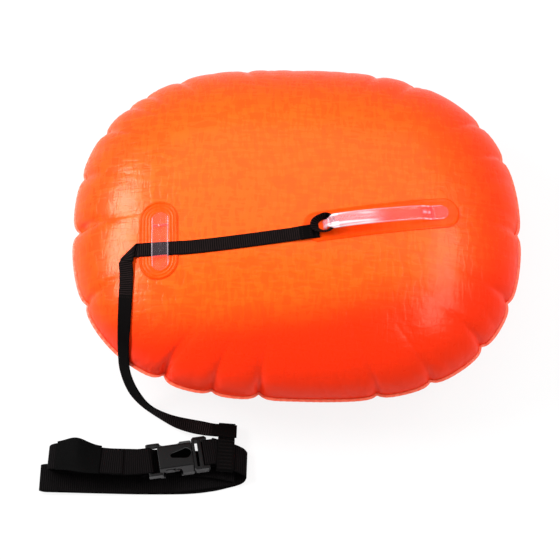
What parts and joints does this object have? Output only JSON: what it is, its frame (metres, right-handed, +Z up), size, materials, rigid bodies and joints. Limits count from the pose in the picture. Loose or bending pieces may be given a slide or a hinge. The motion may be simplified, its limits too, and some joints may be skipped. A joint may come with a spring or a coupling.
{
  "type": "open water swim buoy",
  "caption": "Inflatable oval tow float with a grab strap, dry pocket, air valve, webbing leash and a folded waist belt with a side-release buckle.",
  "frame": {"origin": "on the surface the buoy lies on, below the middle of its welded rim", "axes": "+X along the buoy away from the leash's corner, +Y away from the belt, +Z up"},
  "size_m": [0.5131, 0.4766, 0.1555],
  "materials": {
    "orange_film": "coated film with a satin shine",
    "clear_film": "clear soft vinyl over orange",
    "black_webbing": "woven polyester webbing",
    "black_tab": "smooth sewn label tape",
    "black_plastic": "moulded acetal",
    "clear_vinyl": "soft clear vinyl",
    "grey_plastic": "soft moulded strip"
  },
  "bodies": {
    "buoy": {"front_panel": "orange_film", "back_panel": "orange_film", "weld_rim": "orange_film", "handle_patch": "orange_film", "keeper_patch": "orange_film", "pocket_panel": "orange_film", "handle_strap": "clear_film", "keeper_strap": "clear_film", "leash_webbing": "black_webbing", "leash_handle_loop": "black_webbing", "leash_belt_loop": "black_webbing", "belt_webbing": "black_webbing", "belt_tab": "black_tab", "buckle_male": "black_plastic", "valve_base": "clear_vinyl", "pocket_track": "grey_plastic"},
    "female_half": {"buckle_female": "black_plastic", "belt_female_end": "black_webbing"},
    "near_arm": {"release_near": "black_plastic"},
    "far_arm": {"release_far": "black_plastic"},
    "plug": {"valve_plug": "clear_vinyl"},
    "flap": {"valve_flap": "clear_vinyl"},
    "slider": {"pocket_slider": "black_plastic"}
  },
  "joints": [
    {"name": "buckle_release", "type": "slide", "parent": "buoy", "child": "female_half", "axis": [-0.9819, -0.182, 0.0523], "range_m": [0, 0.034]},
    {"name": "press_near", "type": "hinge", "parent": "buoy", "child": "near_arm", "pos_m": [-0.10494, -0.25242, 0.01657], "axis": [-0.0124, -0.2138, -0.9768], "range_deg": [0, 6], "stiffness_Nm_per_rad": 2},
    {"name": "press_far", "type": "hinge", "parent": "buoy", "child": "far_arm", "pos_m": [-0.10919, -0.23083, 0.01189], "axis": [0.0124, 0.2138, 0.9768], "range_deg": [0, 6], "stiffness_Nm_per_rad": 2},
    {"name": "plug_out", "type": "slide", "parent": "buoy", "child": "plug", "axis": [0.2813, -0.1642, -0.9455], "range_m": [0, 0.01]},
    {"name": "flap_in", "type": "hinge", "parent": "buoy", "child": "flap", "pos_m": [0.15758, -0.08372, 0.02598], "axis": [-0.0468, -0.9864, 0.1574], "range_deg": [0, 45], "stiffness_Nm_per_rad": 0.002},
    {"name": "slider_run", "type": "slide", "parent": "buoy", "child": "slider", "axis": [1, 0, 0], "range_m": [0, 0.1292]}
  ]
}
